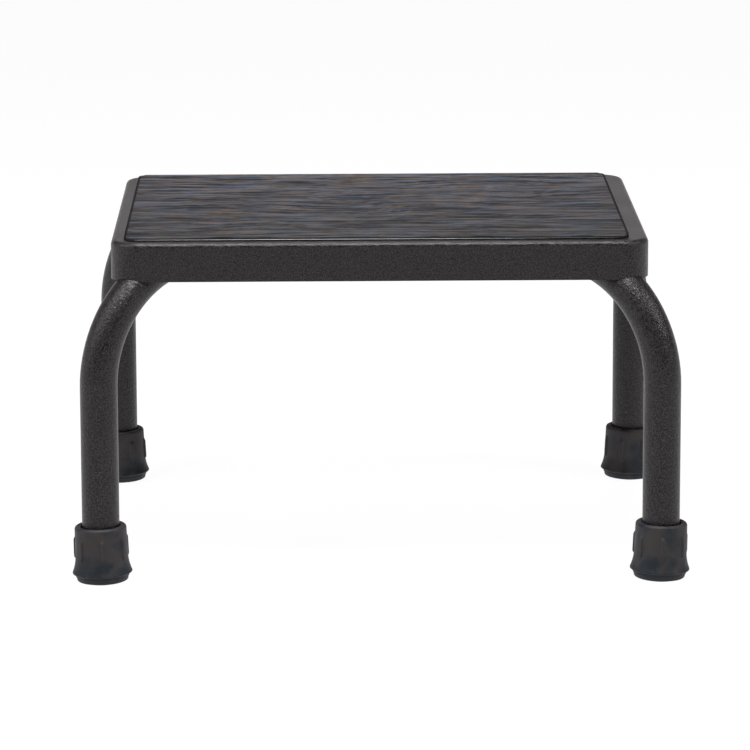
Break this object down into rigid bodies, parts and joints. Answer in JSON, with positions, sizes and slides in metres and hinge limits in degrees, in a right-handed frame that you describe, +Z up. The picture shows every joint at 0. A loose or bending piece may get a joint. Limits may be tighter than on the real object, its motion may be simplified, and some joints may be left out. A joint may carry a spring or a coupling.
{
  "type": "step stool",
  "caption": "Low one-step foot stool: black powder-coated steel platform with a ribbed rubber mat, on crossed bent tube legs with rubber tips.",
  "frame": {"origin": "on the floor under the middle of the four feet, which is the bottom centre of the bounding box", "axes": "+X along the platform's long side, to the right seen from the front; -Y is the front; +Z up"},
  "size_m": [0.4206, 0.3454, 0.2323],
  "materials": {
    "powder_coated_steel": "fine sand-textured black powder coat, satin",
    "ribbed_mat_rubber": "fine ribbed rubber sheet, slight sheen",
    "tip_rubber": "moulded rubber, matt",
    "zinc_plated_steel": "bright zinc plate"
  },
  "bodies": {
    "root": {"platform_pan": "powder_coated_steel", "tread_mat": "ribbed_mat_rubber", "leg_tube_upper": "powder_coated_steel", "leg_tube_lower": "powder_coated_steel", "rubber_tip_front_left": "tip_rubber", "rubber_tip_front_right": "tip_rubber", "rubber_tip_rear_left": "tip_rubber", "rubber_tip_rear_right": "tip_rubber", "tip_disc_front_left": "zinc_plated_steel", "tip_disc_front_right": "zinc_plated_steel", "tip_disc_rear_left": "zinc_plated_steel", "tip_disc_rear_right": "zinc_plated_steel", "leg_bolt_front_left": "zinc_plated_steel", "leg_bolt_front_right": "zinc_plated_steel", "leg_bolt_rear_left": "zinc_plated_steel", "leg_bolt_rear_right": "zinc_plated_steel", "lock_washer_front_left": "zinc_plated_steel", "lock_washer_front_right": "zinc_plated_steel", "lock_washer_rear_left": "zinc_plated_steel", "lock_washer_rear_right": "zinc_plated_steel", "saddle_washer_front_left": "zinc_plated_steel", "saddle_washer_front_right": "zinc_plated_steel", "saddle_washer_rear_left": "zinc_plated_steel", "saddle_washer_rear_right": "zinc_plated_steel", "weld_nut_front_left": "zinc_plated_steel", "weld_nut_front_right": "zinc_plated_steel", "weld_nut_rear_left": "zinc_plated_steel", "weld_nut_rear_right": "zinc_plated_steel"}
  },
  "joints": []
}
